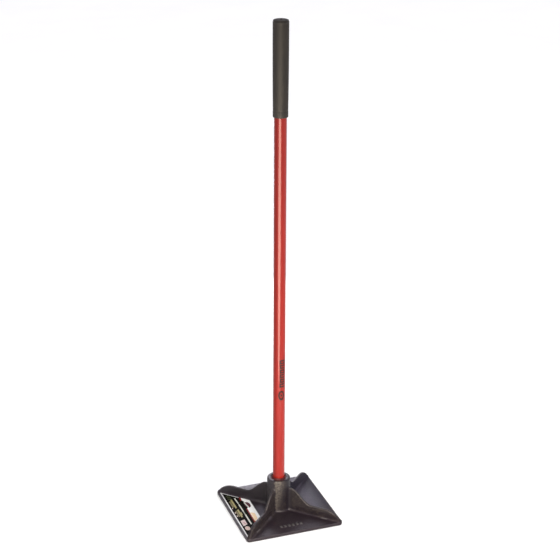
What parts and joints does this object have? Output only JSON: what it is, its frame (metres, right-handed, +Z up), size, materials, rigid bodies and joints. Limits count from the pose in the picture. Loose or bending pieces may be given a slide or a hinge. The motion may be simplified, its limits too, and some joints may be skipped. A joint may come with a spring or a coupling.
{
  "type": "hand tamper",
  "caption": "Square ribbed cast-iron ramming plate with a tall centre socket, a long straight red fibreglass handle and a moulded end grip, for compacting soil and gravel by hand.",
  "frame": {"origin": "centre of the head's flat sole, at the plane that meets the ground", "axes": "+Z up along the handle, X and Y along the plate's square edges, -Y the front bay with the raised marks, -X the bay with the label"},
  "size_m": [0.254, 0.254, 1.2642],
  "materials": {
    "painted_cast_iron": "semi-gloss black paint over a sand-cast skin",
    "red_fibreglass": "glossy red pultruded fibreglass with a faint surface veil",
    "hardwood": "plain turned dowel, hidden",
    "black_nylon": "moulded, hidden",
    "potting_resin": "dark red cured resin, slightly dished",
    "grip_rubber": "matte dark grey elastomer with a fine texture",
    "zinc_plated_steel": "bright zinc plate",
    "label_film": null
  },
  "bodies": {
    "root": {"tamper_head": "painted_cast_iron", "handle_tube": "red_fibreglass", "lower_core_plug": "hardwood", "upper_core_plug": "black_nylon", "potting_ring": "potting_resin", "grip_sleeve": "grip_rubber", "screw_washer": "zinc_plated_steel", "retaining_screw": "zinc_plated_steel", "head_label": "label_film"}
  },
  "joints": []
}
